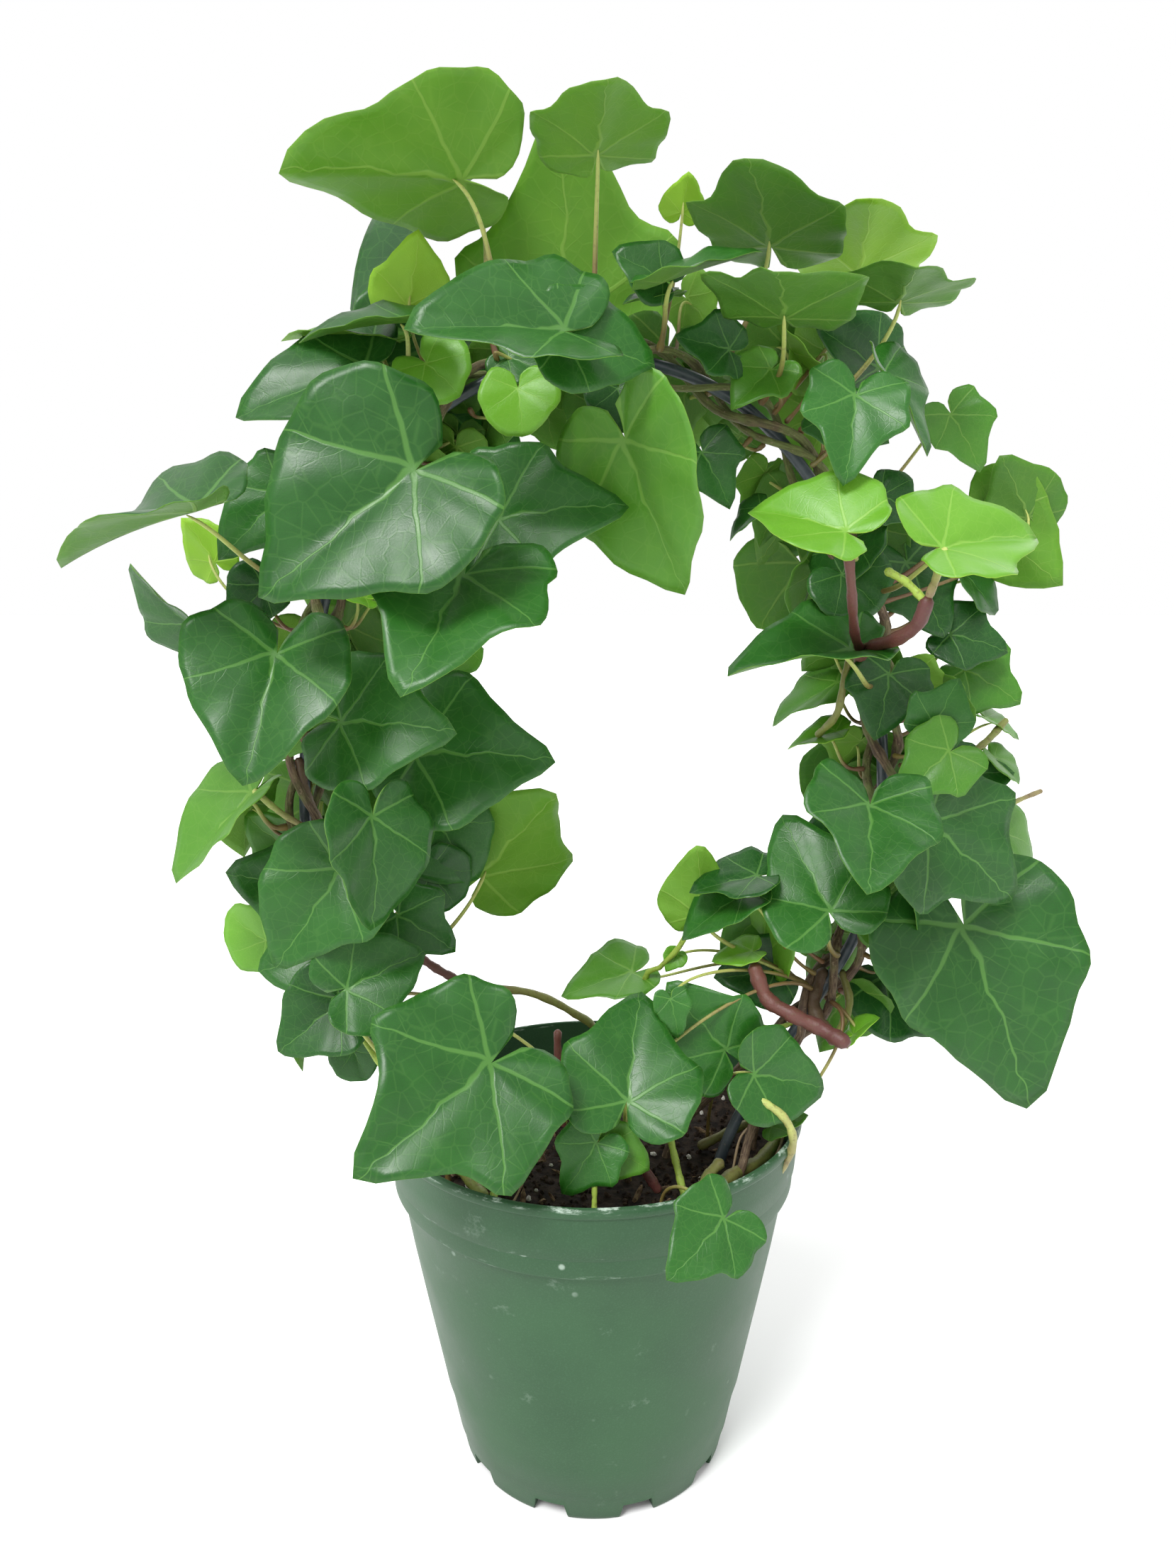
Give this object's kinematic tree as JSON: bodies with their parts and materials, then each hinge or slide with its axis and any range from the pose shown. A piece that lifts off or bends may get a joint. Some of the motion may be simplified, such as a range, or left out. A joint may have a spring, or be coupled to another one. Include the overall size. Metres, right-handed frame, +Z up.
{
  "type": "potted ivy on a wire hoop",
  "caption": "Ivy trained round a teardrop wire hoop standing in a tapered nursery pot of soil, with lobed leaves all the way round and over the rim.",
  "frame": {"origin": "centre of the pot's flat underside, on the ground", "axes": "+Z up along the pot's axis; the hoop stands in the XZ plane, so +X is across the hoop and Y goes through it; the fuller face of leaves looks along -Y"},
  "size_m": [0.3342, 0.1788, 0.486],
  "materials": {
    "pot": "satin green polypropylene, lightly scuffed",
    "soil": "moist dark potting mix with perlite",
    "wire": "satin plastic-coated wire, slate grey",
    "stem": "woody vine, brown turning olive and green",
    "leaf": "waxy dark green leaf with pale veins, lighter underneath",
    "leaf_young": "thin bright lime green young leaf"
  },
  "bodies": {
    "root": {"pot": "pot", "soil": "soil", "hoop": "wire", "vine_left_1": "stem", "vine_left_2": "stem", "vine_left_3": "stem", "vine_right_1": "stem", "vine_right_2": "stem", "vine_right_3": "stem", "leaf_01": "leaf", "leaf_02": "leaf", "leaf_03": "leaf", "leaf_04": "leaf", "leaf_05": "leaf", "leaf_06": "leaf", "leaf_07": "leaf_young", "leaf_08": "leaf", "leaf_09": "leaf", "leaf_10": "leaf", "leaf_11": "leaf", "leaf_12": "leaf", "leaf_13": "leaf_young", "leaf_14": "leaf", "leaf_15": "leaf", "leaf_16": "leaf", "leaf_17": "leaf", "leaf_18": "leaf", "leaf_19": "leaf", "leaf_20": "leaf", "leaf_21": "leaf", "leaf_22": "leaf", "leaf_23": "leaf", "leaf_24": "leaf_young", "leaf_25": "leaf", "leaf_26": "leaf", "leaf_27": "leaf", "leaf_28": "leaf", "leaf_29": "leaf", "leaf_30": "leaf", "leaf_31": "leaf", "leaf_32": "leaf", "leaf_33": "leaf", "leaf_34": "leaf", "leaf_35": "leaf_young", "leaf_36": "leaf_young", "leaf_37": "leaf", "leaf_38": "leaf", "leaf_39": "leaf", "leaf_40": "leaf", "leaf_41": "leaf", "leaf_42": "leaf", "leaf_43": "leaf", "leaf_44": "leaf", "leaf_45": "leaf", "leaf_46": "leaf", "leaf_47": "leaf", "leaf_48": "leaf", "leaf_49": "leaf", "leaf_50": "leaf", "leaf_51": "leaf"}
  },
  "joints": []
}
